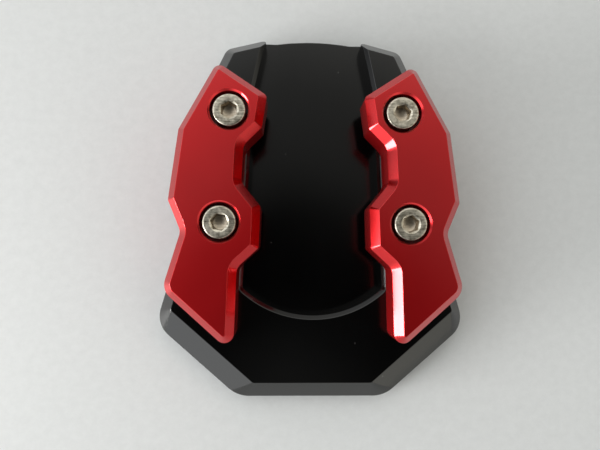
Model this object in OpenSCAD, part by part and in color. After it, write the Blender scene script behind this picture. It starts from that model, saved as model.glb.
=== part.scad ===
// Kickstand foot enlarger: a plate that is clamped under the foot of a motorcycle's side stand, so
// that the stand does not sink into soft ground. The stand's own foot lies in the pocket, between
// the plate and the lips of two clamps, and four socket head cap screws pull the clamps down.
//
// Frame: millimetres, +Z up. The plate lies on z = 0, centred on x = 0 and y = 0, and the pocket's
// mouth, where the stand's leg comes in, faces +Y. The right half is drawn and mirrored to the left.

/* [Foot plate] */
// Length of the plate, from its rear edge to the lip at the pocket's mouth
plate_l = 102; // [98:1:112]
// Thickness of the plate
plate_t = 10; // [9:0.5:14]
// Width of the top face across its rear side corners
rear_w = 76.6; // [72:0.2:82]
// Width of the straight rear edge of the top face
rear_edge_w = 31.8; // [24:0.2:40]
// Length along Y of the slanted edge between the rear edge and the side
rear_slant_l = 19.2; // [16:0.2:21]
// Width of the top face across the corners of its two front wings
wing_w = 45.2; // [43:0.2:48]
// Slope in degrees of the front edges, up to the mouth
front_slope = 14.5; // [8:0.5:18]
// Distance along Y from the lip at the mouth back to the corners of the wings
wing_setback = 6.6; // [5.6:0.2:8]
// How far the clamps' outer edges hang over the edge of the plate's top face
side_setback = 1.7; // [0.6:0.1:2.4]
// Radius of the curved lip at the mouth, seen from above
lip_r = 70; // [50:1:120]
// Length over which each end of the lip runs out to the front edge
lip_run = 5.2; // [3:0.2:7]

/* [Plate bevels] */
// Height of the bevel that runs round the plate
plate_bevel_h = 4.6; // [2:0.2:5.6]
// Width of that bevel along the sides and the front
side_bevel_w = 3.6; // [2:0.2:4.6]
// Width of that bevel along the slanted rear edges
slant_bevel_w = 6.6; // [3.6:0.2:7.4]
// Width of that bevel along the straight rear edge
rear_bevel_w = 4.8; // [3:0.2:6.4]
// Size of the small chamfer round the underside
under_chamfer = 0.6; // [0.2:0.1:1]

/* [Pocket] */
// Depth of the pocket, which is the room for the stand's foot under the clamps
pocket_depth = 6.5; // [4:0.25:7]
// Width of the pocket's floor at the rear
pocket_rear_w = 38.2; // [35:0.2:38.2]
// Width of the pocket's floor where the mouth begins to narrow
pocket_front_w = 33.8; // [30:0.2:35]
// Width of the pocket's floor at the mouth
mouth_w = 28.4; // [24:0.2:30]
// Length of the narrowing part of the mouth
mouth_l = 13; // [9:0.5:16]
// Width of the flat land between the pocket and the rear edge of the top face
rear_land = 16.8; // [10:0.2:20]
// Angle in degrees by which the pocket's curved rear end falls away at each side
rear_curve = 39; // [20:1:48]
// Chamfer along the pocket's upper edge
pocket_chamfer = 1; // [0.4:0.1:1.4]
// Radius of the plate's two corners at the mouth
mouth_r = 1.2; // [0.8:0.2:2.6]

/* [Clamps] */
// Thickness of the clamps
clamp_t = 10.4; // [9:0.2:14]
// Width of the bevel round the top of the clamps
clamp_bevel_w = 2; // [1:0.1:2.4]
// Height of that bevel
clamp_bevel_h = 2.4; // [1:0.1:3]
// Radius of the clamps' inner corners at the underside
notch_r = 3.4; // [2:0.2:4]
// Length of the clamps' legs, from the rear screws back to the tips
leg_l = 33.1; // [29:0.1:35]
// How far the clamps' lips reach over the pocket from the front screws
front_reach = 9.6; // [8.6:0.1:10.2]
// How far the clamps' lips reach over the pocket from the rear screws
rear_reach = 10.2; // [9:0.1:10.8]

/* [Screws] */
// Distance between the two front screws
front_screw_w = 44.8; // [44.8:0.1:47]
// Distance between the two rear screws
rear_screw_w = 48.6; // [48.6:0.1:51]
// Distance along Y from the rear screws to the front screws
screw_pitch = 28.8; // [27:0.1:31]
// Distance along Y from the plate's front lip to the front screws
screw_front = 26.1; // [25:0.1:28]
// Thread diameter of the screws
screw_d = 5; // [4:0.5:5]
// Length of the screws under the head
screw_l = 12; // [10:1:14]
// Diameter of the screw heads
head_d = 8.5; // [8:0.1:8.8]
// Height of the screw heads
head_h = 5; // [4:0.1:5.4]
// Width across the flats of the hexagon socket
socket_w = 4; // [3:0.5:4.5]
// Depth of the hexagon socket
socket_depth = 2.6; // [2:0.1:3]
// Diameter of the counterbores that hold the heads
counterbore_d = 10; // [9.4:0.1:10.6]
// Chamfer round the top of the counterbores
counterbore_edge = 0.45; // [0.2:0.05:0.6]
// How far the heads lie below the clamps' top
head_recess = 0.1; // [0:0.1:1]
// Gap all round between a screw and its hole in the clamp
clamp_hole_gap = 0.25; // [0.1:0.05:0.5]

/* [Hidden] */

// Running clearance of a screw's thread in its tapped hole, on the radius.
thread_gap = 0.05;
// Points along a small, rounded corner and along a large one.
few = 4;
many = 8;
// What a cut runs past the face that it opens.
past = 1;

// Levels.
floor_z = plate_t - pocket_depth;
bevel_z = plate_t - plate_bevel_h;
seat_z = plate_t + clamp_t - head_recess - head_h;

// Places along Y: the plate's top face at the rear, its slanted edges, the wings and the screws.
front_y = plate_l / 2;
rear_y = -plate_l / 2 + rear_bevel_w;
rear_corner_y = rear_y + rear_slant_l;
wing_y = front_y - wing_setback;
front_screw = [front_screw_w / 2, front_y - screw_front];
rear_screw = front_screw + [(rear_screw_w - front_screw_w) / 2, -screw_pitch];

// A clamp's outline, from the outer front corner clockwise. Each point is an offset from the screw
// that it belongs to, so the lobes keep their shape round the screws wherever those stand.
front_lobe_outer = [[3.5, 13.3], [13.1, -4.7]];
rear_lobe_outer = [[13.4, 5.7], [10, -2.3], [14.3, -17.1]];
rear_lobe_inner = [[-4.4, -11.5], [0.3 - rear_reach, -6.4], [-rear_reach, 4.3], [-5.2, 10.4]];
front_lobe_inner = [[-3.7, -8.7], [1.2 - front_reach, -3.9], [-front_reach, 4.6]];
tip = rear_screw + [-3.9, -leg_l];
clamp_outline = concat([for (p = front_lobe_outer) front_screw + p],
                       [for (p = rear_lobe_outer) rear_screw + p], [tip],
                       [for (p = rear_lobe_inner) rear_screw + p],
                       [for (p = front_lobe_inner) front_screw + p]);
// Corner radii in the same order, at the underside: the tip is blunt and notches take notch_r.
clamp_r = [2, 1.6, 1.6, notch_r, 4.2, 2.4, notch_r, 1.4, 1.4, notch_r, notch_r, 1.4, 1.4];

// The right half of the plate's top face, from the rear edge round to the wing and on to the middle
// of the front, which the pocket cuts away. Its side follows the clamp's outer edge, set in by
// side_setback.
plate_side = [for (i = [3, 2, 1]) clamp_outline[i] - [side_setback, 0]];
top_half = concat([[rear_edge_w / 2, rear_y], [rear_w / 2, rear_corner_y]], plate_side,
                  [[wing_w / 2, wing_y], [0, wing_y + wing_w / 2 * tan(front_slope)]]);
// Bevel width of the edge that ends at each of those points, and the corner radii at the top face
// and at the bevel's foot. The corners are sharp above and well rounded below.
bevel_half = [rear_bevel_w, slant_bevel_w, for (i = [0:4]) side_bevel_w];
top_r = [0.9, 0.7, 5, 3, 3, 1, 3];
foot_r = [9, 7, 2.4, 4, 4, 3.2, 3];

// The right half of the pocket's floor, from the mouth round to the middle of its rear end. That end
// is one arc, which stops where the rounding of the side corner begins.
side_round = 1.6;
rear_arc_r = (pocket_rear_w / 2 / cos(rear_curve) - side_round) / tan(rear_curve);
rear_fall = pocket_rear_w / 2 * tan(rear_curve) - rear_arc_r * (1 / cos(rear_curve) - 1);
side_y = rear_y + rear_land + pocket_chamfer + rear_fall;
mouth_y = wing_y + (wing_w - mouth_w) / 2 * tan(front_slope);
mouth_lean = (mouth_w - pocket_front_w) / 2 / mouth_l;
pocket_half = [[mouth_w / 2 + 12 * mouth_lean, mouth_y + 12], [pocket_front_w / 2, mouth_y - mouth_l],
               [pocket_rear_w / 2, side_y], [0, side_y - pocket_rear_w / 2 * tan(rear_curve)]];

// The plate's outline at the foot of the bevel, and at its top.
function whole(half) = let (last = len(half) - 1) concat(half, reverse([for (i = [0:last - 1]) half[i]]));
top_edge = concat(top_half, flip([for (i = [0:5]) top_half[i]]));
foot_edge = moved(top_edge, -concat(bevel_half, reverse([for (i = [1:6]) bevel_half[i]])));
plate_top = rounded(top_edge, whole(top_r));
plate_foot = rounded(foot_edge, whole(foot_r));
// Its right half as far as the wing, and the rounded corner where it meets the pocket's wall.
plate_side_foot = [for (i = [0:6 * (many + 1) - 1]) plate_foot[i]];
mouth_corner = crossing(foot_edge[5], foot_edge[6] - foot_edge[5],
                        pocket_half[1], pocket_half[0] - pocket_half[1]);
mouth_arc = corner(foot_edge[5], mouth_corner, pocket_half[1], mouth_r, many);

// The curved lip, seen from above. At each end it leaves its arc and runs out smoothly to the front
// edge, which it meets where the mouth's corner begins.
run_start = mouth_arc[0].x - lip_run;
function lip(x) = front_y - lip_r + sqrt(lip_r * lip_r - x * x);
run_slope = -run_start / sqrt(lip_r * lip_r - run_start * run_start);
function run_out(t) = [run_start + lip_run * t,
    (1 + 2 * t) * pow(1 - t, 2) * lip(run_start) + t * pow(1 - t, 2) * lip_run * run_slope
    + (3 - 2 * t) * t * t * mouth_arc[0].y + t * t * (1 - t) * lip_run * tan(front_slope)];
lip_half = concat([for (i = [0:many]) run_out(1 - i / many)],
                  [for (i = [1:many]) let (x = run_start * (1 - i / many)) [x, lip(x)]]);

// The same points mirrored to the left, in the order that continues round the outline.
function flip(half) = [for (i = [len(half) - 1:-1:0]) [-half[i].x, half[i].y]];
function reverse(list) = [for (i = [len(list) - 1:-1:0]) list[i]];
function unit(v) = v / norm(v);
// Cross product of two plane vectors: its sign says to which side a corner turns.
function turn(a, b) = a.x * b.y - a.y * b.x;
// Where the line through p along u meets the line through q along v.
function crossing(p, u, q, v) = p + u * turn(q - p, v) / turn(u, v);

// Points of the arc that rounds the corner b, between its neighbours a and c.
function corner(a, b, c, r, n) =
    let (u = unit(a - b), v = unit(c - b), half = acos(u * v) / 2, m = b + unit(u + v) * r / sin(half),
         from = b + u * r / tan(half) - m, sweep = (180 - 2 * half) * sign(turn(b - a, c - b)))
    [for (i = [0:n]) m + [from.x * cos(sweep * i / n) - from.y * sin(sweep * i / n),
                          from.x * sin(sweep * i / n) + from.y * cos(sweep * i / n)]];

// An outline with every corner rounded, each with the same number of points.
function rounded(outline, radii, n = many) = let (k = len(outline))
    [for (i = [0:k - 1])
        each corner(outline[(i + k - 1) % k], outline[i], outline[(i + 1) % k], radii[i], n)];

// An outline whose edges are moved to the left of its direction, each by its own width: widths[i]
// is that of the edge which ends at point i.
function moved(outline, widths) = let (k = len(outline))
    [for (i = [0:k - 1])
        let (a = outline[(i + k - 1) % k], b = outline[i], c = outline[(i + 1) % k],
             u = unit(b - a), v = unit(c - b))
        crossing(b + widths[i] * [-u.y, u.x], u, c + widths[(i + 1) % k] * [-v.y, v.x], v)];
function same(outline, w) = [for (p = outline) w];

// The radii that corners have once their outline is moved inwards by w, to the right of its
// direction: inner corners grow and outer corners shrink.
function moved_r(outline, radii, w) = let (k = len(outline))
    [for (i = [0:k - 1])
        let (bend = turn(outline[i] - outline[(i + k - 1) % k], outline[(i + 1) % k] - outline[i]))
        bend < 0 ? max(radii[i] - w, 0.8) : radii[i] + w];

// The two triangles of each four-cornered patch between the point rings a and b, counted from 0.
function strip(a, b, k) = [for (i = [0:k - 1]) let (j = (i + 1) % k)
    each [[a * k + i, b * k + i, b * k + j], [a * k + i, b * k + j, a * k + j]]];
function lifted(outline, z) = [for (p = outline) [p.x, p.y, z]];

// What a cutter takes away to bevel an edge all round: a ring, three-sided in section, whose sloping
// side runs through the outline `from` at z0 and through the outline `to` at z1. Both have the same
// number of points, and the ring runs past both by the share `over` of the bevel.
module bevel_cut(from, to, z0, z1, over = 0.05) {
    k = len(from);
    start = from + (from - to) * over;
    end = to + (to - from) * over;
    lo = z0 + (z0 - z1) * over;
    hi = z1 + (z1 - z0) * over;
    faces = concat(strip(0, 1, k), strip(1, 2, k), strip(2, 0, k));
    flip_faces = (turning(from) > 0) == (hi > lo);
    polyhedron(concat(lifted(start, lo), lifted(end, hi), lifted(start, hi)),
               flip_faces ? [for (f = faces) reverse(f)] : faces);
}

// Twice the area of an outline, positive when it runs anticlockwise.
function turning(outline) = let (k = len(outline))
    sum([for (i = [0:k - 1]) turn(outline[i], outline[(i + 1) % k])]);
function sum(list) = list * [for (i = list) 1];

// The pocket's outline, grown by g on every side: its two ends lie before the mouth.
function pocket_edge(g) =
    let (all = concat(pocket_half, flip([for (i = [0:2]) pocket_half[i]])), p = moved(all, same(all, g)))
    concat([p[0]], corner(p[0], p[1], p[2], 6 + g, many), corner(p[1], p[2], p[3], side_round + g, few),
           corner(p[2], p[3], p[4], rear_arc_r + g, 3 * many),
           corner(p[3], p[4], p[5], side_round + g, few), corner(p[4], p[5], p[6], 6 + g, many), [p[6]]);

// The plate without its holes: a slab that ends in the curved lip, and the rim round the pocket.
// The bevel and the chamfers are cut from both.
module plate_blank() {
    walls = pocket_edge(0);
    slab = concat(plate_side_foot, lip_half,
                  flip(concat(plate_side_foot, [for (i = [0:2 * many - 1]) lip_half[i]])));
    rim = concat(plate_side_foot, mouth_arc, [for (i = [1:len(walls) - 2]) walls[i]],
                 flip(concat(plate_side_foot, mouth_arc)));
    difference() {
        union() {
            linear_extrude(floor_z) polygon(slab);
            translate([0, 0, floor_z]) linear_extrude(pocket_depth) polygon(rim);
        }
        bevel_cut(plate_foot, plate_top, bevel_z, plate_t);
        bevel_cut(slab, moved(slab, same(slab, under_chamfer)), under_chamfer, 0);
        edge_cut(pocket_edge(-0.2), pocket_edge(pocket_chamfer), plate_t - pocket_chamfer - 0.2, plate_t);
    }
}

// What a cutter takes away to chamfer the edge round a hollow: a solid that widens from the outline
// `from` at z0 to the outline `to` at z1 and beyond.
module edge_cut(from, to, z0, z1, over = 0.1) {
    k = len(from);
    faces = concat([[for (i = [0:k - 1]) i]], strip(0, 1, k), [[for (i = [k - 1:-1:0]) k + i]]);
    flip_faces = turning(from) < 0;
    polyhedron(concat(lifted(from + (from - to) * over, z0 + (z0 - z1) * over),
                      lifted(to + (to - from) * over, z1 + (z1 - z0) * over)),
               flip_faces ? [for (f = faces) reverse(f)] : faces);
}

// Puts its children at the four screws' axes.
module at_screws() {
    for (s = [1, -1], p = [front_screw, rear_screw]) translate([s * p.x, p.y]) children();
}

module foot_plate() {
    color([0.13, 0.13, 0.14]) difference() {
        plate_blank();
        at_screws() translate([0, 0, -past])
            cylinder(plate_t + 2 * past, r = screw_d / 2 + thread_gap, $fn = 48);
    }
}

// One clamp, on the right. Its bevel is the same width all round.
module clamp() {
    outline = rounded(clamp_outline, clamp_r, few);
    top = rounded(moved(clamp_outline, -same(clamp_outline, clamp_bevel_w)),
                  moved_r(clamp_outline, clamp_r, clamp_bevel_w), few);
    color([0.72, 0.1, 0.13]) translate([0, 0, plate_t]) difference() {
        linear_extrude(clamp_t) polygon(outline);
        bevel_cut(outline, top, clamp_t - clamp_bevel_h, clamp_t);
        for (p = [front_screw, rear_screw]) translate(p) {
            translate([0, 0, -past])
                cylinder(clamp_t + 2 * past, d = screw_d + 2 * clamp_hole_gap, $fn = 48);
            translate([0, 0, seat_z - plate_t])
                cylinder(head_h + head_recess + past, d = counterbore_d, $fn = 64);
            translate([0, 0, clamp_t - counterbore_edge])
                cylinder(2 * counterbore_edge, counterbore_d / 2,
                         counterbore_d / 2 + 2 * counterbore_edge, $fn = 64);
        }
    }
}
module clamp_right() clamp();
module clamp_left() mirror([1, 0, 0]) clamp();

// A socket head cap screw that stands on its seat.
module screw(place) {
    edge = 0.4;
    color([0.8, 0.8, 0.78]) translate([place.x, place.y, seat_z]) difference() {
        rotate_extrude($fn = 64)
            polygon([[0, -screw_l], [screw_d / 2 - edge, -screw_l], [screw_d / 2, edge - screw_l],
                     [screw_d / 2, 0], [head_d / 2, 0], [head_d / 2, head_h - edge],
                     [head_d / 2 - edge, head_h], [0, head_h]]);
        translate([0, 0, head_h - socket_depth]) rotate(30)
            cylinder(socket_depth + past, d = socket_w / cos(30), $fn = 6);
    }
}
module screw_front_left() screw([-front_screw.x, front_screw.y]);
module screw_front_right() screw(front_screw);
module screw_rear_left() screw([-rear_screw.x, rear_screw.y]);
module screw_rear_right() screw(rear_screw);

foot_plate();
clamp_left();
clamp_right();
screw_front_left();
screw_front_right();
screw_rear_left();
screw_rear_right();
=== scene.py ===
"""Looks of a kickstand foot enlarger: a black anodised plate, two red clamps and four screws.

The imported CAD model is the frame. Each CAD node is replaced by a closed surface of the same shape
with finer corners, softened edges and the small features that the solids leave out. Shapes are
worked out in millimetres, with the pocket's mouth towards +y, and the settings are kept in metres.
"""
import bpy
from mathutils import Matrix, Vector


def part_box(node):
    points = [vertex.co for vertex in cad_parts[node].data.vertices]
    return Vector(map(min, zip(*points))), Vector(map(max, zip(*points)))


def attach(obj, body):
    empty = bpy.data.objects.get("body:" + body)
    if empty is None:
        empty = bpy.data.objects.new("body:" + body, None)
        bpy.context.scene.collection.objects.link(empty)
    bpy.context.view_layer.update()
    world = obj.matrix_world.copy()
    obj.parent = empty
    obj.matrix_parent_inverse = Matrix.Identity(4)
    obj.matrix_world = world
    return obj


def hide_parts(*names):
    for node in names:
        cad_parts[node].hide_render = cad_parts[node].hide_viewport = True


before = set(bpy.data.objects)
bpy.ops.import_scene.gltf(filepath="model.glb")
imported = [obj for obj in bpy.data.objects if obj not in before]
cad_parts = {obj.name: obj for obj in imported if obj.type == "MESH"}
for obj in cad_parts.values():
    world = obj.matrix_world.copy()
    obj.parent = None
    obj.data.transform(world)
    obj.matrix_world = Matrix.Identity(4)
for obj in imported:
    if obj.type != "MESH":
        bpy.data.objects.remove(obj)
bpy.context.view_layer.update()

import bpy
import numpy as np
from mathutils import Matrix
from mathutils.geometry import delaunay_2d_cdt

bl_info = {
    "name": "Kickstand foot enlarger",
    "version": (1, 0, 0),
    "blender": (4, 5, 0),
    "location": "View3D > Sidebar > Foot enlarger",
    "description": "Plate, clamps and screws of a kickstand foot enlarger",
    "category": "Add Mesh",
}

MM = 0.001
JOINED = 2e6                # cells a metre in which points are taken as one
FACE, CUT, WALL = 0, 1, 2   # material slots: level faces, bevels and chamfers, and the clamps' walls

# Places of the right half, seen from above.
FRONT_Y = 51.0              # the lip at the pocket's mouth
REAR_Y = -46.2              # the top face's rear edge
FRONT_SCREW = np.array((22.4, 24.9))
REAR_SCREW = np.array((24.3, -3.9))

# A clamp's outline, as offsets from the screw that each point belongs to, from the outer front
# corner clockwise, and its corner radii at the underside.
CLAMP = np.concatenate((
    FRONT_SCREW + [(3.5, 13.3), (13.1, -4.7)],
    REAR_SCREW + [(13.4, 5.7), (10, -2.3), (14.3, -17.1), (-3.9, -33.1), (-4.4, -11.5), (-9.9, -6.4),
                  (-10.2, 4.3), (-5.2, 10.4)],
    FRONT_SCREW + [(-3.7, -8.7), (-8.4, -3.9), (-9.6, 4.6)]))
CLAMP_RADII = np.array((2, 1.6, 1.6, 3.4, 4.2, 2.4, 3.4, 1.4, 1.4, 3.4, 3.4, 1.4, 1.4))
SHARP = 0.25                # radius of the bevel's convex upper corners
CLAMP_STEPS = 12            # steps in each of a clamp's corners

# The plate's top face: half its rear edge, the corner at the side, how far the side stands in from
# the clamp's, the wing's outer corner, and the slope of the front edge. Then the corner radii in that
# order, at the top face and at the foot of the bevel.
REAR_EDGE_X = 15.9
REAR_CORNER = (38.3, REAR_Y + 19.2)
SIDE_SETBACK = 1.7
WING = np.array((22.6, FRONT_Y - 6.6))
FRONT_SLOPE = np.tan(np.radians(14.5))
TOP_RADII = (0.9, 0.7, 5, 3, 3, 1, 3)
FOOT_RADII = (9, 7, 2.4, 4, 4, 3.2, 3)
WING_CORNER = 5             # the wing's place in those lists

# The pocket: half its width at the mouth, at the knee behind it and at the rear, the level face behind
# it, the angle of its rear arc at the side, and its corner radii.
MOUTH_X, KNEE_X, SIDE_X = 14.2, 16.9, 19.1
KNEE_RUN = 13.0             # from the mouth to the knee
OVERRUN = 12.0              # how far its wall is drawn past the mouth
LAND = 16.8
REAR_CURVE = np.radians(39)
MOUTH_R, KNEE_R, SIDE_R = 1.2, 6.0, 1.6

# The lip: its radius, the run over which it turns to the front edges, the run over which its
# softened edge sets in, and the points along half its arc and along one run.
LIP_R, LIP_RUN, LIP_FADE = 70.0, 5.2, 0.9
LIP_POINTS, LIP_RUN_POINTS = 49, 25

# The tapped holes: their radius, and the chamfer at the underside.
TAP_R, TAP_CHAMFER = 2.55, 0.35

# The screws' shanks.
THREAD_DEPTH = 0.46
THREAD_FLAT = 0.125         # share of the thread's depth that is cut off at its crests and its roots
THREAD_FADE = 1.5           # pitches over which it fades out under the head
THREAD_ROWS = 8             # rings in a pitch
TIP_HEIGHT, TIP_WIDTH, TIP_FLAT = 0.55, 0.5, 1.2    # the cone at the tip and its flat end's radius

# The screws' heads: the chamfer below, the flutes, the heights from below and the depths from the top
# between which they run out, and the rim as distances in from the side and down from the top.
HEAD_CHAMFER = 0.25
FLUTES, FLUTE_DEPTH = 48, 0.07
SIDE_UP, SIDE_DOWN = (0.2, 0.4), (0.95, 0.75)
RIM_IN, RIM_DOWN = np.array(((0, 0.5), (0.05, 0.3), (0.16, 0.14), (0.36, 0.035), (0.6, 0))).T

# The screws' sockets: the ring round the cone at the mouth, how far the cone lies below the top and
# reaches past the corners, its slope, and the drilled end's share of the socket and its depth.
CONE_EDGE, CONE_DOWN, CONE_ROOM, CONE_SLOPE = 0.12, 0.03, 0.2, 0.55
DRILL_SHARE, DRILL_DEPTH = 0.88, 0.7
TURNED = {"front_left": 30.0, "front_right": 12.5, "rear_left": 50.0, "rear_right": 20.0}   # degrees

# The stage, in metres and radians.
FLOOR_REACH = 3.0
WINDOW_WAY, WINDOW_AWAY, WINDOW_SIZE = np.array((-0.94, -0.29, 0.17)), 0.6, (0.3, 0.2)
WINDOW_COLOUR = (1.0, 0.99, 0.97)
CAMERA_PLACE = (-0.0077905, -0.0120867, 0.1331807)
CAMERA_TILT = (("Z", -0.0106), ("Y", 0.0338), ("X", -0.0675))

# The room's brightness by direction, as places and levels: towards the dark overhead, upwards from the
# horizon, and from the rear to the front. Its colours are those on the left, on the right and in the
# camera.
OVERHEAD_LEVELS = ((0.2, 0.5), (0.48, 0.5), (0.6, 0.28), (0.67, 0.13), (0.72, 0.095), (0.8, 0.075),
                   (0.835, 0.036), (0.86, 0.008), (0.88, 0.002), (0.935, 0.001), (0.965, 0.017),
                   (0.985, 0.036))
HORIZON_LEVELS = ((0.0, 0.76), (0.05, 0.74), (0.3, 1.0))
FRONT_LEVELS = ((0.0, 1.0), (0.5, 0.95), (0.58, 0.75), (0.66, 0.2), (0.88, 0.35), (1.0, 0.6))
OVERHEAD, OVERHEAD_NARROW = (0.04, -0.4, 0.91), 0.14    # its direction, and its narrowing sideways
ROOM_LEVEL = 2.86
TO_RIGHT, TO_FRONT = 0.38, 0.2                      # how much the level falls to the right and the front
DARK_WAY, DARK_FROM = (-0.935, 0.18, 0.305), 0.975  # something dark, and where its edge starts
DARK_EDGE, DARK_SHARE = 60, 0.65                    # how sharp its edge is, and what it takes away
ROOM_LEFT, ROOM_RIGHT, ROOM_SEEN = (0.97, 1.0, 1.03, 1), (1.03, 1.0, 0.88, 1), (0.8, 0.8, 0.79, 1)


# Plane outlines, in millimetres
def unit(v):
    """Vectors divided by their lengths."""
    return v / np.linalg.norm(v, axis=-1, keepdims=True)


def turn(a, b):
    """Cross product of plane vectors: positive where b points to the left of a."""
    return a[..., 0] * b[..., 1] - a[..., 1] * b[..., 0]


def crossing(p, u, q, v):
    """Where the line through p along u meets the line through q along v."""
    return p + u * (turn(q - p, v) / turn(u, v))[..., None]


def left_of(d):
    """Plane vectors turned a quarter to the left: minus y, and x."""
    return np.stack((-d[..., 1], d[..., 0]), -1)


def mirrored(half):
    """The points of a right half on the left, in the order that continues round the outline."""
    return half[::-1] * (-1, 1)


def whole(half, middle):
    """An outline from its right half, the points between the halves, and the half mirrored."""
    return np.concatenate((half, middle, mirrored(half)))


def moved(outline, widths):
    """Each edge is moved to its left by its own width, and each corner goes to the crossing of its
    two moved edges. widths[i] belongs to the edge that ends at point i."""
    widths = np.broadcast_to(np.asarray(widths, float), (len(outline),))[:, None]
    after = np.roll(outline, -1, 0)
    u, v = unit(outline - np.roll(outline, 1, 0)), unit(after - outline)
    return crossing(outline + widths * left_of(u), u, after + np.roll(widths, -1) * left_of(v), v)


def inset(outline, width):
    """A fine outline moved to its left: each point goes along the sum of its edges' two normals,
    divided by one plus their product, which keeps every edge parallel."""
    u = unit(outline - np.roll(outline, 1, 0))
    v = unit(np.roll(outline, -1, 0) - outline)
    return outline + width * (left_of(u) + left_of(v)) / (1 + (u * v).sum(1))[:, None]


def arcs(path, radii, steps):
    """Each inner corner of an open path becomes an arc: its centre lies on the bisector, radius over
    the sine of half the corner away, and its first point is turned about it by equal steps."""
    a, b, c = path[:-2], path[1:-1], path[2:]
    u, v = unit(a - b), unit(c - b)
    half = np.arccos((u * v).sum(1)) / 2
    radii = np.broadcast_to(np.asarray(radii, float), half.shape)
    centre = b + unit(u + v) * (radii / np.sin(half))[:, None]
    start = b + u * (radii / np.tan(half))[:, None] - centre
    bend = (np.pi - 2 * half) * np.sign(turn(b - a, c - b))
    angle = bend[:, None] * np.linspace(0, 1, steps + 1)
    cos, sin = np.cos(angle), np.sin(angle)
    x, y = start[:, None, 0], start[:, None, 1]
    return centre[:, None] + np.stack((x * cos - y * sin, x * sin + y * cos), 2)


def rounded(outline, radii, steps):
    """A closed outline with every corner rounded by arcs()."""
    return arcs(np.concatenate((outline[-1:], outline, outline[:1])), radii, steps).reshape(-1, 2)


def circle(centre, radius, count=96):
    """A circle that runs clockwise, as the edge of a hole does."""
    angle = -np.linspace(0, 2 * np.pi, count, endpoint=False)
    return np.asarray(centre) + radius * np.stack((np.cos(angle), np.sin(angle)), 1)


def at(outline, z):
    """Plane points lifted to a height, or to a height for each point."""
    return np.column_stack((outline, np.broadcast_to(np.asarray(z, float), (len(outline),))))


def eased(start, corner, end, steps=3):
    """Rings that round an edge: quadratic curves from start to end that aim at the corner."""
    t = np.linspace(0, 1, steps + 1)[:, None, None]
    return (1 - t) ** 2 * start + 2 * t * (1 - t) * corner + t ** 2 * end


def placed(name, data):
    """A new object in the scene."""
    thing = bpy.data.objects.new(name, data)
    bpy.context.scene.collection.objects.link(thing)
    return thing


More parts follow.
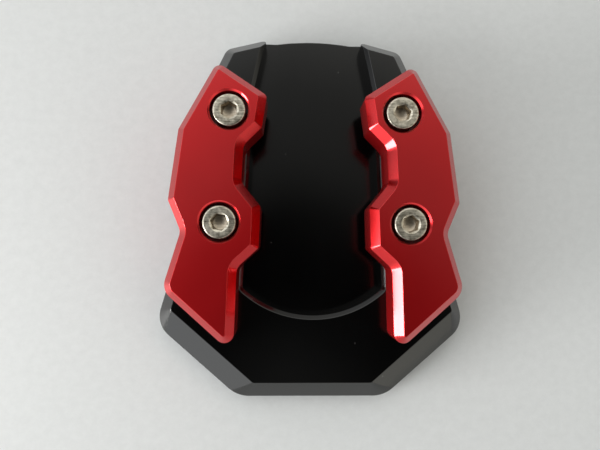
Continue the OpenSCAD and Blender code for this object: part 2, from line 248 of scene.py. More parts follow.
class Shell:
    """The surfaces of one piece, gathered and then closed into one mesh. Surfaces that blend are
    shaded as one; every other seam is a crisp edge."""

    def __init__(self):
        self.points, self.faces, self.groups, self.slots = [], [], [], []
        self.count = 0

    def add(self, points, faces, slot, blend):
        """Takes a surface in. Those that blend share group 0, and any other one gets its own."""
        group = 0 if blend else len(self.groups) + 1
        self.points.append(points)
        self.faces.append(faces + self.count)
        self.groups.append(np.full(len(faces), group))
        self.slots.append(np.full(len(faces), slot))
        self.count += len(points)

    def sweep(self, rows, slot=FACE, blend=False):
        """rows is a grid of rings, each with the same number of points. Every cell is two triangles,
        facing outwards where the rings run anticlockwise and the rows go up."""
        rows = np.asarray(rows)
        levels, k = rows.shape[:2]
        i = np.arange((levels - 1) * k)
        j = i // k * k + (i % k + 1) % k
        faces = np.concatenate((np.stack((i, j, j + k), 1), np.stack((i, j + k, i + k), 1)))
        self.add(rows.reshape(-1, 3), faces, slot, blend)

    def flat(self, loops, z, up, blend=False):
        """A level face inside the first loop and outside the others, as a Delaunay triangulation."""
        sizes = [len(loop) for loop in loops]
        first = np.repeat(np.cumsum([0] + sizes[:-1]), sizes)
        i = np.arange(sum(sizes)) - first
        ends = first + (i + 1) % np.repeat(sizes, sizes)
        edges = np.stack((first + i, ends), 1).tolist()
        corners = np.concatenate(loops)
        inside, nearest = 1, 1e-8
        found = delaunay_2d_cdt(corners.tolist(), edges, [], inside, nearest)
        # The triangulation rounds its points, so each takes the exact place of its corner again.
        points = np.array([corners[own[0]] if own else point for point, own in zip(found[0], found[3])])
        faces = np.array(found[2])
        # A triangle stays if a line from its middle crosses the loops an odd number of times.
        a, b = corners[first + i], corners[ends]
        x, y = points[faces].mean(1)[:, :, None].transpose(1, 0, 2)
        span = (a[:, 1] > y) != (b[:, 1] > y)
        cut = a[:, 0] + (y - a[:, 1]) * (b[:, 0] - a[:, 0]) / np.where(span, b[:, 1] - a[:, 1], 1)
        faces = faces[(span & (cut > x)).sum(1) % 2 == 1]
        self.add(at(points, z), faces if up else faces[:, ::-1], FACE, blend)

    def hole(self, place, steps, slots):
        """A round hole whose radius changes in steps. They are radii and heights from below, and
        between each two is a cylinder, a ring or a cone with its own material slot."""
        rings = [at(circle(place, radius), z) for radius, z in steps]
        for low, high, slot in zip(rings, rings[1:], slots):
            self.sweep((low, high), slot)

    def close(self, name, materials, node, slot, mirror=False):
        """Joins points that coincide, drops collapsed triangles, and sets each corner's normal to the
        sum of the area vectors of its group's triangles at that point."""
        points = np.concatenate(self.points) * MM * ((-1, 1, 1) if mirror else (1, 1, 1))
        faces = np.concatenate(self.faces)[:, ::-1 if mirror else 1]
        groups, slots = np.concatenate(self.groups), np.concatenate(self.slots)
        _, first, where = np.unique(np.round(points * JOINED), axis=0, return_index=True,
                                    return_inverse=True)
        points, faces = points[first], where.reshape(-1)[faces]
        whole = (faces != np.roll(faces, 1, 1)).all(1)
        faces, groups, slots = faces[whole], groups[whole], slots[whole]
        a, b, c = points[faces].transpose(1, 0, 2)
        area = np.cross(b - a, c - a)
        _, corner = np.unique(faces * (groups.max() + 1) + groups[:, None], return_inverse=True)
        corner = corner.reshape(-1)
        total = np.zeros((corner.max() + 1, 3))
        np.add.at(total, corner, np.repeat(area, 3, 0))
        mesh = bpy.data.meshes.new(name)
        mesh.from_pydata(points, [], faces)
        mesh.polygons.foreach_set("material_index", slots.astype(np.int32))
        mesh.polygons.foreach_set("use_smooth", np.ones(len(faces), bool))
        mesh.normals_split_custom_set(unit(total)[corner])
        piece = placed(name, mesh)
        for material in materials:
            mesh.materials.append(material)
        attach(piece, "root")
        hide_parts(node)


# Shader values
class Socket:
    """A shader value, on which Python's operators add Math nodes."""

    def __init__(self, tree, link):
        self.tree, self.link = tree, link

    def node(self, kind, settings=None, output=0, **values):
        """Any node, by its type. Settings are set first, a ramp's stops as places and grey levels, and
        then the sockets: their names are written with underscores, and in1 is a socket's place."""
        made = self.tree.nodes.new(kind)
        for key, value in (settings or {}).items():
            if key == "stops":
                ramp = made.color_ramp
                while len(ramp.elements) < len(value):
                    ramp.elements.new(0.5)
                for element, (place, level) in zip(ramp.elements, value):
                    element.position = place
                    element.color = (level, level, level, 1)
            else:
                setattr(made, key, value)
        for key, value in values.items():
            socket = made.inputs[int(key[2:]) if key[2:].isdigit() else key.replace("_", " ")]
            if isinstance(value, Socket):
                self.tree.links.new(value.link, socket)
            else:
                socket.default_value = value
        return Socket(self.tree, made.outputs[output])

    def other(self, output):
        """Another output of the node that this value comes from."""
        return Socket(self.tree, self.link.node.outputs[output])

    def math(self, operation, other=0.0, clamp=False):
        """This value and another one through a Math node."""
        settings = {"operation": operation, "use_clamp": clamp}
        return self.node("ShaderNodeMath", settings, in0=self, in1=other)

    def dot(self, direction):
        """How far this vector goes along a direction."""
        return self.node("ShaderNodeVectorMath", {"operation": "DOT_PRODUCT"}, output="Value",
                         in0=self, in1=direction)

    def mix(self, low, high):
        """A colour that goes from low to high as this value goes from 0 to 1."""
        return self.node("ShaderNodeMix", {"data_type": "RGBA"}, output=2, in0=self, in6=low, in7=high)

    def __add__(self, other):
        return self.math("ADD", other)

    def __radd__(self, other):
        return self.math("ADD", other)

    def __mul__(self, other):
        return self.math("MULTIPLY", other)

    def __rmul__(self, other):
        return self.math("MULTIPLY", other)

    def __sub__(self, other):
        return self.math("SUBTRACT", other)

    def __rsub__(self, other):
        return self.node("ShaderNodeMath", {"operation": "SUBTRACT"}, in0=other, in1=self)


# Materials
class Finish:
    """A new material with one Principled shader, and the object's own coordinates as `place`."""

    def __init__(self, name, **constants):
        self.material = bpy.data.materials.new(name)
        self.material.use_nodes = True
        self.tree = self.material.node_tree
        self.shader = self.tree.nodes["Principled BSDF"]
        for key, value in constants.items():
            self.shader.inputs[key.replace("_", " ")].default_value = value
        self.place = Socket(self.tree, None).node("ShaderNodeTexCoord", output="Object")

    def grain(self, scale, stretch=(1, 1, 1), detail=2.0, rough=0.5, turned=0.0):
        """Noise at so many cells a metre along each axis, turned about z."""
        where = self.place.node("ShaderNodeMapping", Vector=self.place, Rotation=(0, 0, turned),
                                Scale=tuple(scale * s for s in stretch))
        return self.place.node("ShaderNodeTexNoise", Vector=where, Scale=1.0, Detail=detail,
                               Roughness=rough)

    def dust(self, scale, share):
        """A mask that is 1 on a few small specks: near the middle of a Voronoi pattern's cells, in
        those whose random colour is above 1 - share."""
        away = self.place.node("ShaderNodeTexVoronoi", Vector=self.place, Scale=scale)
        speck = 0.1
        near = 1 - away.node("ShaderNodeMath", {"operation": "DIVIDE", "use_clamp": True},
                             in0=away, in1=speck)
        chance = self.place.node("ShaderNodeSeparateColor", Color=away.other("Color"))
        return near * chance.math("GREATER_THAN", 1 - share)

    def bump(self, height, strength, distance):
        """The normal that a height gives."""
        return self.place.node("ShaderNodeBump", Height=height, Strength=strength, Distance=distance)

    def feed(self, **links):
        """Links values to the shader, and gives the material."""
        for key, value in links.items():
            self.tree.links.new(value.link, self.shader.inputs[key.replace("_", " ")])
        return self.material


def rgba(colour, share=1.0):
    """A colour for a socket, at a share of its brightness."""
    return (*(share * level for level in colour[:3]), 1.0)


def black_anodised(name, settings, cut):
    """Dyed aluminium: a black ground under a clear glossy layer. Faces are a little duller than cut
    edges and carry the faint straight grain of the mill; both have a fine tooth."""
    finish = Finish(name, IOR=settings.black_ior, Metallic=0.0)
    tooth = finish.grain(5200, detail=3)
    cloud = finish.grain(60)
    grain = finish.grain(1, (2600, 40, 2600))
    base = settings.black_cut_roughness if cut else settings.black_roughness
    rough = base + (cloud - 0.5) * 0.06 + (grain - 0.5) * (0.02 if cut else 0.05)
    specks = finish.dust(260, 0.04)
    colour = (specks * 0.7 + cloud * 0.01).mix(rgba(settings.black), (0.12, 0.12, 0.115, 1))
    height = tooth * 0.5 + grain * (0.1 if cut else 0.4)
    return finish.feed(Base_Color=colour, Roughness=rough, Normal=finish.bump(height, 0.12, 0.000004))


def red_anodised(name, settings, cut, shade=1.0, duller=0.0):
    """Dyed aluminium: red metal under a clear layer, satin on the faces and brighter on the bevels that
    were cut last. The walls are duller, as the mill leaves them; their darker red is painted shade,
    standing in for the window light that reaches them less."""
    finish = Finish(name, Metallic=1.0, Coat_Roughness=0.12, Coat_IOR=1.6)
    tooth = finish.grain(4200, detail=3)
    cloud = finish.grain(45)
    base = (settings.red_cut_roughness if cut else settings.red_roughness) + duller
    rough = base + (cloud - 0.5) * 0.05 + (tooth - 0.5) * (0.02 if cut else 0.05)
    dye = cloud.mix(rgba(settings.red, 0.86 * shade), rgba(settings.red, shade))
    colour = (finish.dust(210, 0.012) * 0.6).mix(dye, (0.7, 0.35, 0.33, 1))
    return finish.feed(Base_Color=colour, Roughness=rough,
                       Coat_Weight=tooth * 0.1 + (0.42 if cut else 0.85),
                       Normal=finish.bump(tooth, 0.06 if cut else 0.16, 0.000005))


def stainless(name, settings):
    """Turned steel, slightly stained, with fine scratches and blurred tool marks, and a colour that turns
    browner and darker with depth inside the socket."""
    finish = Finish(name, Metallic=1.0)
    stain = finish.grain(850, detail=4, rough=0.65)
    marks = finish.grain(1, (5200, 900, 900), turned=0.6)
    scratch = finish.grain(1, (250, 2800, 1200), detail=3, turned=0.9)
    colour = (stain * 3 + scratch * 2.4 - 2.1).mix((0.3, 0.27, 0.21, 1), rgba(settings.steel))
    # Below socket_z the colour turns browner and darker with depth into the socket.
    socket_z, deepening = 20.2 * MM, 700
    height = finish.place.node("ShaderNodeSeparateXYZ", output="Z", Vector=finish.place)
    depth = (socket_z - height).math("MULTIPLY", deepening, True)
    colour = (depth * 0.55).mix(colour, (0.5, 0.4, 0.3, 1))
    rough = settings.steel_roughness + (stain - 0.5) * 0.5 + (marks - 0.5) * 0.1
    return finish.feed(Base_Color=colour, Roughness=rough,
                       Normal=finish.bump(stain * 0.5 + marks * 0.2 + scratch * 0.5, 0.8, 0.00004))


def paper(name, settings):
    """Pale matt card with a soft mottle and a fine fibre."""
    finish = Finish(name, Specular_IOR_Level=0.5)
    mottle = finish.grain(380, detail=4, rough=0.7)
    fibre = finish.grain(1400)
    tint = (mottle * 2 - 0.3).mix(rgba(settings.floor, 0.92), rgba(settings.floor))
    return finish.feed(Base_Color=tint, Roughness=0.5 + fibre * 0.08,
                       Normal=finish.bump(mottle * 0.8 + fibre * 0.2, 0.25, 0.0001))


# Settings
def length(name, default, text):
    """A size in millimetres, kept in metres."""
    return bpy.props.FloatProperty(name=name, default=default * MM, description=text, min=0.0,
                                   unit="LENGTH", subtype="DISTANCE", precision=5)


def colour(name, default, text):
    """A colour, as linear red, green and blue."""
    return bpy.props.FloatVectorProperty(name=name, default=default, size=3, subtype="COLOR",
                                         min=0.0, max=1.0, description=text)


def roughness(name, default, text):
    """A surface's roughness, from 0 to 1."""
    return bpy.props.FloatProperty(name=name, default=default, subtype="FACTOR", min=0.0, max=1.0,
                                   description=text)


class FinishSettings(bpy.types.PropertyGroup):
    """Colours and roughness of the materials"""
    black: colour("Black", (0.0006, 0.0006, 0.0007), "Dye of the plate")
    black_ior: bpy.props.FloatProperty(name="Black layer", default=1.6,
                                       description="Index of the clear layer")
    black_roughness: roughness("Plate face", 0.16, "Roughness of the plate's faces")
    black_cut_roughness: roughness("Plate bevel", 0.08, "Roughness of the plate's bevels")
    red: colour("Red", (0.74, 0.016, 0.02), "Dye of the clamps")
    red_roughness: roughness("Clamp face", 0.4, "Roughness of the clamps' faces")
    red_cut_roughness: roughness("Clamp bevel", 0.2, "Roughness of the clamps' bevels")
    steel: colour("Steel", (0.76, 0.71, 0.6), "Colour of the screws")
    steel_roughness: roughness("Steel roughness", 0.36, "Roughness of the screws")
    floor: colour("Floor", (0.77, 0.785, 0.79), "Colour of the card under the part")


class PlateSettings(bpy.types.PropertyGroup):
    """Sizes of the foot plate"""
    bevel_height: length("Bevel height", 4.6, "Height of the bevel round the plate")
    side_bevel: length("Side bevel", 3.6, "Width of that bevel at the sides and the front")
    slant_bevel: length("Slanted bevel", 6.6, "Width of that bevel at the slanted rear edges")
    rear_bevel: length("Rear bevel", 4.8, "Width of that bevel at the rear edge")
    under_chamfer: length("Chamfer below", 0.6, "Chamfer round the underside")
    pocket_depth: length("Pocket depth", 6.5, "Depth of the pocket")
    pocket_chamfer: length("Pocket chamfer", 1.0, "Chamfer round the pocket")
    edge: length("Edge softening", 0.16, "How far the sharp edges are softened")


class ClampSettings(bpy.types.PropertyGroup):
    """Sizes of the clamps"""
    bevel_width: length("Bevel width", 2.0, "Width of the bevel round the clamps")
    bevel_height: length("Bevel height", 2.4, "Height of that bevel")
    counterbore: length("Counterbore", 10.0, "Diameter of the counterbores")
    counterbore_edge: length("Counterbore edge", 0.45, "Chamfer round the counterbores")
    hole: length("Screw hole", 5.5, "Diameter of the holes for the screws")
    edge: length("Edge softening", 0.06, "How far the sharp edges are softened")


class ScrewSettings(bpy.types.PropertyGroup):
    """Sizes of the screws"""
    head: length("Head diameter", 8.5, "Diameter of the screw heads")
    head_height: length("Head height", 5.0, "Height of the screw heads")
    thread: length("Thread", 5.0, "Outer diameter of the thread")
    pitch: length("Pitch", 0.8, "Pitch of the thread")
    socket: length("Socket", 4.0, "Width across the flats of the socket")
    socket_depth: length("Socket depth", 2.6, "Depth of the socket")


class StageSettings(bpy.types.PropertyGroup):
    """Light and lens"""
    window: bpy.props.FloatProperty(name="Window", default=4.4, description="Power of the window's light")
    sky: bpy.props.FloatProperty(name="Room", default=1.0, description="Strength of the room's light")
    focal: bpy.props.FloatProperty(name="Lens", default=27.0, unit="CAMERA", description="Focal length")


# The plate
def lip_arc(x):
    """The middle of the lip: an arc about the plate's middle plane."""
    return FRONT_Y - LIP_R + np.sqrt(LIP_R ** 2 - x ** 2)


def lip_from(end):
    """The lip from its right end to its left one. In the middle it is lip_arc(). Over LIP_RUN at each
    end it is a cubic that leaves the arc and reaches the front edge along their tangents."""
    start = end[0] - LIP_RUN
    y = lip_arc(start)
    arc_fall = start / (y - FRONT_Y + LIP_R)
    t = np.linspace(1, 0, LIP_RUN_POINTS)
    run = ((1 + 2 * t) * (1 - t) ** 2 * y - t * (1 - t) ** 2 * LIP_RUN * arc_fall
           + (3 - 2 * t) * t ** 2 * end[1] + t ** 2 * (1 - t) * LIP_RUN * FRONT_SLOPE)
    x = np.linspace(start, 0, LIP_POINTS)
    half = np.concatenate((np.stack((start + LIP_RUN * t, run), 1)[1:],
                           np.stack((x, lip_arc(x)), 1)[1:]))
    return whole(half[:-1], half[-1:])


def pocket_corners(chamfer):
    """The corners of the pocket's wall on the right, from past the mouth to the middle of the rear,
    and the radius of the rear arc. The arc starts where the side corner's rounding ends."""
    mouth = np.array((MOUTH_X, WING[1] + (WING[0] - MOUTH_X) * FRONT_SLOPE))
    lean = (MOUTH_X - KNEE_X) / KNEE_RUN
    rear_r = (SIDE_X / np.cos(REAR_CURVE) - SIDE_R) / np.tan(REAR_CURVE)
    side_y = (REAR_Y + LAND + chamfer + SIDE_X * np.tan(REAR_CURVE)
              - rear_r * (1 / np.cos(REAR_CURVE) - 1))
    corners = np.array([mouth + (OVERRUN * lean, OVERRUN), (KNEE_X, mouth[1] - KNEE_RUN),
                        (SIDE_X, side_y), (0, side_y - SIDE_X * np.tan(REAR_CURVE))])
    return corners, rear_r


def both_halves(half):
    """Corner radii of the whole outline from those of the right half."""
    return np.array(half + half[-2::-1], float)


class PlatePlan:
    """Outlines of the plate's right half from above: the bevel's `foot` and `top`, the `corner` where
    the foot turns into the mouth, the pocket's wall(), and the whole `lip`."""

    def __init__(self, plate, steps=14):
        self.steps = steps
        self.width, self.height = plate.side_bevel / MM, plate.bevel_height / MM
        slant, rear, chamfer = (size / MM for size in (plate.slant_bevel, plate.rear_bevel,
                                                       plate.pocket_chamfer))
        # The top face: rear edge, slanted edge, the side that follows the clamp, and the front.
        side = CLAMP[[3, 2, 1]] - (SIDE_SETBACK, 0)
        half = np.array([(REAR_EDGE_X, REAR_Y), REAR_CORNER, *side, WING,
                         (0, WING[1] + WING[0] * FRONT_SLOPE)])
        top = whole(half[:-1], half[-1:])
        widths = np.array([rear, slant] + [self.width] * (len(top) - 3) + [slant])
        foot = moved(top, -widths)
        kept = (WING_CORNER + 1) * (steps + 1)      # points from the rear edge to the wing
        self.top = rounded(top, both_halves(TOP_RADII), steps)[:kept]
        self.foot = rounded(foot, both_halves(FOOT_RADII), steps)[:kept]

        # The foot runs along the front edge from the wing and turns into the mouth.
        self.pocket, self.rear_r = pocket_corners(chamfer)
        self.wing, top_wing = foot[WING_CORNER], top[WING_CORNER]
        along = unit(foot[WING_CORNER + 1] - self.wing)
        into = unit(self.pocket[1] - self.pocket[0])
        turning = crossing(self.wing, along, self.pocket[0], into)
        self.corner = arcs(np.array((self.wing, turning, self.pocket[1])), MOUTH_R, steps)[0]
        self.lip = lip_from(self.corner[0])

        # Where the front bevel meets the pocket's chamfer, at the top face and at the wall.
        out, self.inwards = left_of(into), left_of(along)
        self.meet_top = crossing(top_wing, along, self.pocket[0] + chamfer * out, into)
        up_slope = self.inwards * self.width * (self.height - chamfer) / self.height
        self.meet_wall = crossing(self.wing + up_slope, along, self.pocket[0], into)
        self.meet_inwards = unit(self.inwards + out)

    def rise(self, points):
        """How high the front bevel stands above its foot at plane points."""
        return ((points - self.wing) @ self.inwards) * self.height / self.width

    def wall(self, grown):
        """The pocket's wall, moved outwards: knee, side corner and half the rear arc."""
        corners = moved(whole(self.pocket[:-1], self.pocket[-1:]), grown)
        knee, side = arcs(corners[:4], (KNEE_R + grown, SIDE_R + grown), self.steps)
        half_steps = 4 * self.steps
        rear = arcs(corners[2:5], self.rear_r + grown, 2 * half_steps)[0]
        return np.concatenate((knee, side, rear[:half_steps + 1]))


def plate_slab(shell, plan, plate, floor):
    """The slab up to the pocket's floor: chamfer, wall, and a softened edge at the lip, which sets in
    by the square of the distance from the rim's corners. Everywhere else the rim's wall goes on.
    Gives the outlines of the underside and of the lip at the floor."""
    front = np.concatenate((plan.foot, plan.corner[:1]))
    slab = whole(front, plan.lip)
    lip = slice(len(front), len(front) + len(plan.lip))
    share = np.zeros(len(slab))
    share[lip] = np.minimum((front[-1, 0] - np.abs(plan.lip[:, 0])) / LIP_FADE, 1) ** 2
    soft, under = plate.edge / MM, plate.under_chamfer / MM
    edge = slab + (inset(slab, soft) - slab) * share[:, None]
    below = inset(slab, under)
    shell.sweep((at(below, 0), at(slab, under)), CUT)
    softened = eased(at(slab, floor - soft * share), at(slab, floor), at(edge, floor))
    shell.sweep(np.concatenate(([at(slab, under)], softened)), blend=True)
    return below, edge[lip.start - 1:lip.stop + 1]


def plate_rim(shell, plan, plate, floor, thick):
    """The rim: wall, softened edge, bevel or chamfer, softened edge. Each point of its outline has a
    foot of the slope, at the height `rise`, and its own top. Gives the outline of the top face and the
    wall's right half behind the front edge."""
    soft, chamfer = plate.edge / MM, plate.pocket_chamfer / MM
    wall, wall_top = plan.wall(0), plan.wall(chamfer)
    turned = np.concatenate((plan.corner, [plan.meet_wall]))
    half_foot = np.concatenate((plan.foot, turned, wall[:-1]))
    half_top = np.concatenate((plan.top, np.tile(plan.meet_top, (len(turned), 1)), wall_top[:-1]))
    bevel = thick - plate.bevel_height / MM
    half_rise = np.concatenate((np.full(len(plan.foot), bevel), bevel + plan.rise(turned),
                                np.full(len(wall) - 1, thick - chamfer)))
    inwards = unit(half_top - half_foot)
    inwards[len(plan.foot):len(plan.foot) + len(turned)] = plan.meet_inwards
    foot = whole(half_foot, wall[-1:])
    top = whole(half_top, wall_top[-1:])
    land = whole(half_top + inwards * soft, wall_top[-1:] - (0, soft))
    rise = np.concatenate((half_rise, [thick - chamfer], half_rise[::-1]))
    low, high = at(foot, rise), at(top, thick)
    step = unit(high - low) * soft
    lower_edge = eased(low - (0, 0, soft), low, low + step)
    shell.sweep(np.concatenate(([at(foot, floor)], lower_edge)), blend=True)
    shell.sweep((low + step, high - step), CUT, blend=True)
    shell.sweep(eased(high - step, high, at(land, thick)), blend=True)
    return land, np.concatenate((turned[1:], wall))


def build_plate(plate, materials):
    """The plate is a slab that ends in the curved lip, with the rim round the pocket on it. Each is a
    profile carried round its outline, and level faces and the tapped holes close them."""
    shell, plan = Shell(), PlatePlan(plate)
    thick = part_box("foot_plate")[1].z / MM
    floor = thick - plate.pocket_depth / MM
    below, lip = plate_slab(shell, plan, plate, floor)
    land, wall = plate_rim(shell, plan, plate, floor, thick)
    bores = [place * (sign, 1) for place in (FRONT_SCREW, REAR_SCREW) for sign in (1, -1)]
    wide = TAP_R + TAP_CHAMFER
    for bore in bores:
        shell.hole(bore, ((wide, 0), (TAP_R, TAP_CHAMFER), (TAP_R, thick)), (CUT, FACE))
    shell.flat([land] + [circle(bore, TAP_R) for bore in bores], thick, up=True, blend=True)
    shell.flat([below] + [circle(bore, wide) for bore in bores], 0, up=False)
    basin = np.concatenate((lip, wall[:-1] * (-1, 1), wall[::-1]))
    shell.flat([basin], floor, up=True)
    shell.close("plate", materials, "foot_plate", "plate_black")


# The clamps
def build_clamp(clamp, head_height, materials, side):
    """A clamp is a profile carried round its outline, closed by two level faces with the stepped
    holes for the screws. The left one is the right one mirrored."""
    shell = Shell()
    base, top = (corner.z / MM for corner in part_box("clamp_" + side))
    seat = (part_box("screw_front_" + side)[1].z - head_height) / MM
    soft, width, height = clamp.edge / MM, clamp.bevel_width / MM, clamp.bevel_height / MM
    outline, radii = CLAMP[::-1], CLAMP_RADII[::-1]
    bend = turn(outline - np.roll(outline, 1, 0), np.roll(outline, -1, 0) - outline)
    crown_radii = np.where(bend > 0, np.maximum(radii - width, SHARP), radii + width)
    foot = rounded(outline, radii, CLAMP_STEPS)
    crown = rounded(moved(outline, width), crown_radii, CLAMP_STEPS)
    low, high = at(foot, top - height), at(crown, top)
    step = (high - low) / np.hypot(width, height) * soft
    lean = inset(foot, soft)
    land = crown + unit(crown - foot) * soft
    shell.sweep(np.concatenate((eased(at(lean, base), at(foot, base), at(foot, base + soft)),
                                eased(low - (0, 0, soft), low, low + step))), WALL, blend=True)
    shell.sweep((low + step, high - step), CUT, blend=True)
    shell.sweep(eased(high - step, high, at(land, top)), blend=True)

    hole, bore, cut = clamp.hole / MM / 2, clamp.counterbore / MM / 2, clamp.counterbore_edge / MM
    steps = ((hole, base), (hole, seat), (bore, seat), (bore, top - cut), (bore + cut, top))
    places = (FRONT_SCREW, REAR_SCREW)
    for place in places:
        shell.hole(place, steps, (WALL, WALL, WALL, CUT))
    shell.flat([lean] + [circle(place, hole) for place in places], base, up=False, blend=True)
    shell.flat([land] + [circle(place, bore + cut) for place in places], top, up=True, blend=True)
    shell.close("clamp_body_" + side, materials, "clamp_" + side, "clamp_red", side == "left")


# The screws
class Turning:
    """Rings about a screw's axis."""

    def __init__(self, centre, count=144):
        self.centre = centre
        self.angle = np.linspace(0, 2 * np.pi, count, endpoint=False)
        self.around = np.stack((np.cos(self.angle), np.sin(self.angle)), 1)

    def rings(self, radii, heights):
        """A ring for each radius and height. Both may be numbers, or arrays over the angle."""
        radius, z = (np.array([np.broadcast_to(row, self.angle.shape) for row in rows], float)
                     for rows in (radii, heights))
        return np.concatenate((self.centre + radius[..., None] * self.around, z[..., None]), 2)


def screw_thread(shell, turning, screw, tip, seat):
    """The thread, from the tip to the seat, and the ring under the head. Its depth follows a triangle
    wave of height over pitch less the turn, with flat crests and roots. It fades in over the tip's
    cone and out under the head."""
    radius, pitch = screw.thread / MM / 2, screw.pitch / MM
    z = np.linspace(tip, seat, int((seat - tip) / pitch * THREAD_ROWS) + 1)
    phase = ((z[:, None] - tip) / pitch - turning.angle / (2 * np.pi)) % 1
    wave = np.abs(2 * phase - 1) * (1 + 2 * THREAD_FLAT) - THREAD_FLAT
    depth = THREAD_DEPTH * np.clip(wave, 0, 1)
    fade = np.clip((seat - z) / pitch / THREAD_FADE, 0, 1)[:, None]
    cone = np.clip((tip + TIP_HEIGHT - z) / TIP_HEIGHT, 0, 1)[:, None] * TIP_WIDTH
    body = turning.rings(np.minimum(radius - depth * fade, radius - cone), z)
    shell.sweep(np.concatenate((turning.rings((0, TIP_FLAT), (tip, tip)), body[:1])))
    shell.sweep(body)
    under = turning.rings([screw.head / MM / 2 - HEAD_CHAMFER], [seat])
    shell.sweep(np.concatenate((body[-1:], under)))


def screw_head(shell, turning, screw, seat, mouth):
    """The head: lower edge, fluted side, rim, and the level ring as far as the socket's mouth. The
    flutes' depth follows the square of a fine wave of the angle."""
    radius, height = screw.head / MM / 2, screw.head_height / MM
    top = seat + height
    flute = FLUTE_DEPTH * (0.5 + 0.5 * np.cos(turning.angle * FLUTES)) ** 2
    grooved = radius - np.array((0, 1, 1, 0))[:, None] * flute
    side = turning.rings(grooved, seat + np.array((*SIDE_UP, *(height - down for down in SIDE_DOWN))))
    shell.sweep(np.concatenate((turning.rings([radius - HEAD_CHAMFER], [seat]), side)))
    rim = turning.rings(radius - RIM_IN, top - RIM_DOWN)
    ring = turning.rings((mouth + CONE_EDGE, mouth), (top, top - CONE_DOWN))
    shell.sweep(np.concatenate((side[-1:], rim, ring)))


def screw_socket(shell, turning, screw, top, mouth, turned):
    """The socket: the cone at its mouth, which meets the six flats, the flats, its floor and the
    conical end of the drilled hole."""
    flats = screw.socket / MM / 2
    hexagon = flats / np.cos((turning.angle - np.radians(turned)) % (np.pi / 3) - np.pi / 6)
    cone_top, deep = top - CONE_DOWN, top - screw.socket_depth / MM
    cone_z = cone_top - (mouth - hexagon) * CONE_SLOPE
    drill = DRILL_SHARE * hexagon.min()
    radii = (mouth, hexagon, hexagon, drill, 0)
    heights = (cone_top, cone_z, deep, deep, deep - DRILL_DEPTH)
    for i in range(len(radii) - 1):
        shell.sweep(turning.rings(radii[i:i + 2], heights[i:i + 2]))


def build_screw(screw, material, name, turned):
    """A socket head cap screw, as rings about its axis."""
    shell = Shell()
    low, high = (np.array(corner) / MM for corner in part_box(name))
    tip, top = low[2], high[2]
    seat = top - screw.head_height / MM
    mouth = screw.socket / MM / 2 / np.cos(np.pi / 6) + CONE_ROOM
    turning = Turning((low + high)[:2] / 2)
    screw_thread(shell, turning, screw, tip, seat)
    screw_head(shell, turning, screw, seat, mouth)
    screw_socket(shell, turning, screw, top, mouth, turned)
    shell.close(name.replace("screw", "cap_screw"), [material], name, "screw_steel")


# The stage
def build_floor(card):
    """A square sheet of card, much larger than the part."""
    mesh = bpy.data.meshes.new("floor")
    corners = [(x * FLOOR_REACH, y * FLOOR_REACH, 0) for x, y in ((-1, -1), (1, -1), (1, 1), (-1, 1))]
    mesh.from_pydata(corners, [], [(0, 1, 2, 3)])
    mesh.materials.append(card)
    placed("floor", mesh)


def build_window(power):
    """The window's light stands low on the left and faces the part."""
    lamp = bpy.data.lights.new("window", "AREA")
    lamp.shape = "RECTANGLE"
    lamp.size, lamp.size_y = WINDOW_SIZE
    lamp.energy = power
    lamp.color = WINDOW_COLOUR
    way = unit(WINDOW_WAY)
    across = unit(np.cross((0, 0, 1.0), way))
    facing = Matrix(np.stack((across, np.cross(way, across), way), 1).tolist())
    placed("window", lamp).matrix_world = Matrix.Translation(way * WINDOW_AWAY) @ facing.to_4x4()


def build_room(strength):
    """The room is a sky whose brightness depends only on direction, and the camera sees pale grey."""
    world = bpy.data.worlds.new("room")
    bpy.context.scene.world = world
    world.use_nodes = True
    tree = world.node_tree
    way = Socket(tree, None).node("ShaderNodeTexCoord", output="Generated")
    x = way.node("ShaderNodeSeparateXYZ", Vector=way)
    y, z = x.other("Y"), x.other("Z")
    # Overhead and towards the rear the room is dark, because whoever looks down on the part stands
    # there. The brightness follows the angle to that direction.
    over = way.dot(OVERHEAD) - x.math("ABSOLUTE") * OVERHEAD_NARROW
    glow = way.node("ShaderNodeValToRGB", {"stops": OVERHEAD_LEVELS}, Fac=over)
    # It also falls towards the horizon, to the right and to the front, most of all low down there.
    low = way.node("ShaderNodeValToRGB", {"stops": HORIZON_LEVELS}, Fac=z)
    front = way.node("ShaderNodeValToRGB", {"stops": FRONT_LEVELS}, Fac=y * 0.5 + 0.5)
    front = front + (1 - front) * (z * 3).math("SUBTRACT", 0.5, True)
    glow = glow * low * front * ROOM_LEVEL * (1 - x * TO_RIGHT - y * TO_FRONT)
    # Something dark stands low on the left, and the pocket's chamfer on the right reflects it.
    dark = (way.dot(DARK_WAY) - DARK_FROM).math("MULTIPLY", DARK_EDGE, True)
    glow = glow * (1 - dark * DARK_SHARE)
    # The light is cooler from the left than from the right.
    tint = (x * 0.5 + 0.5).mix(ROOM_LEFT, ROOM_RIGHT)
    glow = way.node("ShaderNodeVectorMath", {"operation": "SCALE"}, in0=tint, Scale=glow)
    seen = way.node("ShaderNodeLightPath", output="Is Camera Ray").mix(glow, ROOM_SEEN)
    background = tree.nodes["Background"]
    tree.links.new(seen.link, background.inputs["Color"])
    background.inputs["Strength"].default_value = strength


def build_camera(focal):
    """The camera looks almost straight down on the part."""
    lens = bpy.data.cameras.new("camera")
    lens.lens, lens.sensor_width = focal, 36.0
    lens.clip_start, lens.clip_end = 0.005, 20.0
    tilt = Matrix.Identity(3)
    for axis, angle in CAMERA_TILT:
        tilt = tilt @ Matrix.Rotation(angle, 3, axis)
    camera = placed("camera", lens)
    camera.matrix_world = Matrix.Translation(CAMERA_PLACE) @ tilt.transposed().to_4x4()
    bpy.context.scene.camera = camera


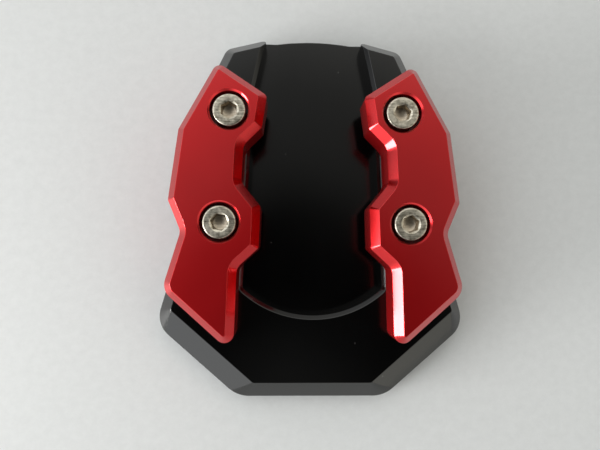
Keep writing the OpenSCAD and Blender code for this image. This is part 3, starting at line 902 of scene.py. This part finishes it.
# Operators and panel
class MESH_OT_foot_plate(bpy.types.Operator):
    """Build the foot plate"""
    bl_idname = "mesh.enlarger_plate"
    bl_label = "Foot plate"

    def execute(self, context):
        finish = context.scene.enlarger_finish
        materials = [black_anodised("plate_face", finish, False),
                     black_anodised("plate_cut", finish, True)]
        build_plate(context.scene.enlarger_plate, materials)
        return {"FINISHED"}


class MESH_OT_foot_clamps(bpy.types.Operator):
    """Build both clamps"""
    bl_idname = "mesh.enlarger_clamps"
    bl_label = "Clamps"

    def execute(self, context):
        scene = context.scene
        finish = scene.enlarger_finish
        materials = [red_anodised("clamp_face", finish, False),
                     red_anodised("clamp_cut", finish, True, shade=0.86),
                     # The walls' darker red (shade 0.6) is painted shade; their extra roughness (duller
                     # 0.3) is the mill's finish.
                     red_anodised("clamp_wall", finish, False, shade=0.6, duller=0.3)]
        for side in ("left", "right"):
            build_clamp(scene.enlarger_clamp, scene.enlarger_screw.head_height, materials, side)
        return {"FINISHED"}


class MESH_OT_cap_screws(bpy.types.Operator):
    """Build the four socket head cap screws"""
    bl_idname = "mesh.enlarger_screws"
    bl_label = "Screws"

    def execute(self, context):
        material = stainless("screw_steel", context.scene.enlarger_finish)
        for place, angle in TURNED.items():
            build_screw(context.scene.enlarger_screw, material, "screw_" + place, angle)
        return {"FINISHED"}


class SCENE_OT_stage(bpy.types.Operator):
    """Build the floor, the light and the camera"""
    bl_idname = "scene.enlarger_stage"
    bl_label = "Stage"

    def execute(self, context):
        scene = context.scene
        build_floor(paper("card", scene.enlarger_finish))
        build_window(scene.enlarger_stage.window)
        build_room(scene.enlarger_stage.sky)
        build_camera(scene.enlarger_stage.focal)
        scene.view_settings.view_transform = "Standard"
        return {"FINISHED"}


class VIEW3D_PT_foot_enlarger(bpy.types.Panel):
    """Sizes and colours of the foot enlarger"""
    bl_label = "Foot enlarger"
    bl_space_type = "VIEW_3D"
    bl_region_type = "UI"
    bl_category = "Foot enlarger"

    def draw(self, context):
        for operator in OPERATORS:
            self.layout.operator(operator.bl_idname)
        for name in GROUPS:
            box = self.layout.box()
            group = getattr(context.scene, name)
            for key in group.__annotations__:
                box.prop(group, key)


GROUPS = {"enlarger_finish": FinishSettings, "enlarger_plate": PlateSettings,
          "enlarger_clamp": ClampSettings, "enlarger_screw": ScrewSettings,
          "enlarger_stage": StageSettings}
OPERATORS = (MESH_OT_foot_plate, MESH_OT_foot_clamps, MESH_OT_cap_screws, SCENE_OT_stage)
CLASSES = (*GROUPS.values(), *OPERATORS, VIEW3D_PT_foot_enlarger)


def register():
    """Adds the classes, and the settings to the scene."""
    for item in CLASSES:
        bpy.utils.register_class(item)
    for name, group in GROUPS.items():
        setattr(bpy.types.Scene, name, bpy.props.PointerProperty(type=group))


def unregister():
    """Takes the settings and the classes away."""
    for name in GROUPS:
        delattr(bpy.types.Scene, name)
    for item in reversed(CLASSES):
        bpy.utils.unregister_class(item)


def main():
    """Builds the scene by the operators."""
    register()
    bpy.ops.mesh.enlarger_plate()
    bpy.ops.mesh.enlarger_clamps()
    bpy.ops.mesh.enlarger_screws()
    bpy.ops.scene.enlarger_stage()


if __name__ == "__main__":
    main()
